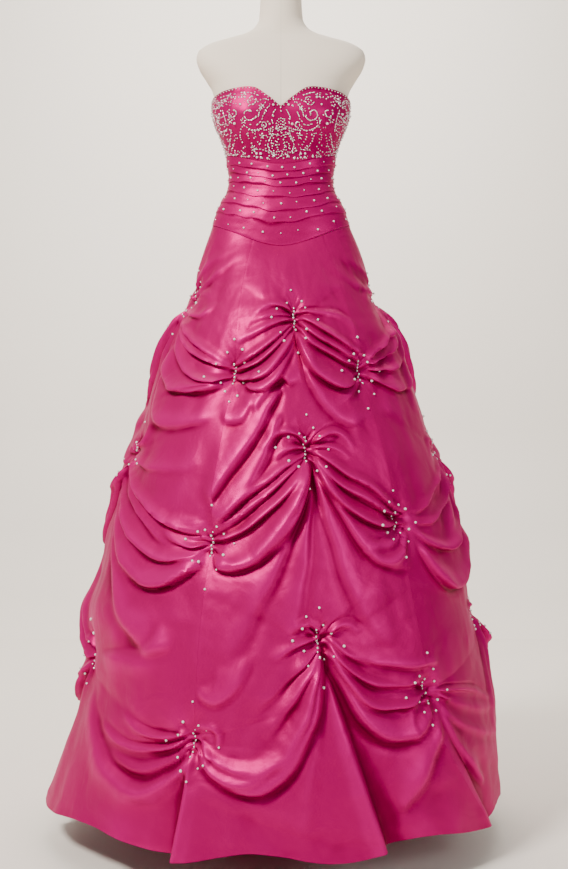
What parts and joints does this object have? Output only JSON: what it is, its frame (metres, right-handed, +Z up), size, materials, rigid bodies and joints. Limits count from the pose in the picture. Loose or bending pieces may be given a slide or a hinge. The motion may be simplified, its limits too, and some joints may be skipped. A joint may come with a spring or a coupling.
{
  "type": "a-line evening dress on a limbless dress form",
  "caption": "Strapless A-line evening dress with a beaded sweetheart bodice, pleated waist and a skirt caught up in swags, on a limbless dress form with a round stand.",
  "frame": {"origin": "centre of the stand plate's underside, on the floor", "axes": "+Z up along the pole, -Y to the front of the dress, +X to the wearer's left"},
  "size_m": [0.8867, 0.8896, 1.668],
  "materials": {
    "satin": "bright pink duchess satin with a broad sheen",
    "form_cover": "off-white stretch cotton cover, matt",
    "stand_steel": "brushed"
  },
  "bodies": {
    "root": {"bodice_front": "satin", "bodice_side_left": "satin", "bodice_side_right": "satin", "bodice_back_left": "satin", "bodice_back_right": "satin", "band_front": "satin", "band_back_left": "satin", "band_back_right": "satin", "skirt_front": "satin", "skirt_side_left": "satin", "skirt_back_left": "satin", "skirt_back_right": "satin", "skirt_side_right": "satin", "dress_form": "form_cover", "stand_plate": "stand_steel", "stand_pole": "stand_steel", "stand_collar": "stand_steel"}
  },
  "joints": []
}
